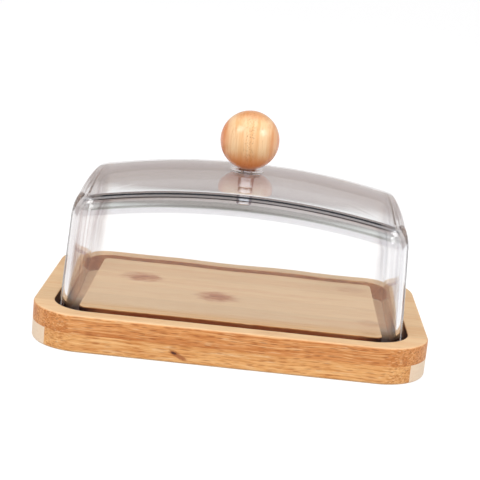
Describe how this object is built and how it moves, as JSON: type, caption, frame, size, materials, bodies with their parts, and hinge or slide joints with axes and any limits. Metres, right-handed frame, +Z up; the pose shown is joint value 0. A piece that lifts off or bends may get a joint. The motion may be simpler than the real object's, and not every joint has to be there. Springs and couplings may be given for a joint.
{
  "type": "butter dish",
  "caption": "Rectangular bamboo board with a ring groove, a lift-off clear glass cover with a crowned top, and a wooden ball knob held by a screw through the glass.",
  "frame": {"origin": "middle of the board's flat underside", "axes": "+X along the board's length, +Y across it towards the back, +Z up; the cover lifts along +Z"},
  "size_m": [0.195, 0.128, 0.1154],
  "materials": {
    "bamboo_upper": "satin oiled bamboo, flat-pressed strips",
    "bamboo_lower": "satin oiled bamboo, paler strips",
    "ball_wood": "satin clear-lacquered turned wood",
    "glass": "clear polished pressed glass",
    "clear_plastic": "clear soft plastic",
    "steel": "bright plated steel",
    "brass": "plain turned brass"
  },
  "bodies": {
    "board": {"upper_strip_1": "bamboo_upper", "upper_strip_2": "bamboo_upper", "upper_strip_3": "bamboo_upper", "upper_strip_4": "bamboo_upper", "upper_strip_5": "bamboo_upper", "upper_strip_6": "bamboo_upper", "lower_strip_1": "bamboo_lower", "lower_strip_2": "bamboo_lower", "lower_strip_3": "bamboo_lower", "lower_strip_4": "bamboo_lower", "lower_strip_5": "bamboo_lower", "lower_strip_6": "bamboo_lower", "lower_strip_7": "bamboo_lower"},
    "cover": {"glass_cover": "glass", "upper_gasket": "clear_plastic", "lower_gasket": "clear_plastic", "spacer_sleeve": "steel", "knob_screw": "steel", "threaded_insert": "brass", "ball_knob": "ball_wood"}
  },
  "joints": [
    {"name": "cover_lift", "type": "slide", "parent": "board", "child": "cover", "axis": [0, 0, 1], "range_m": [0, 0.1]}
  ]
}
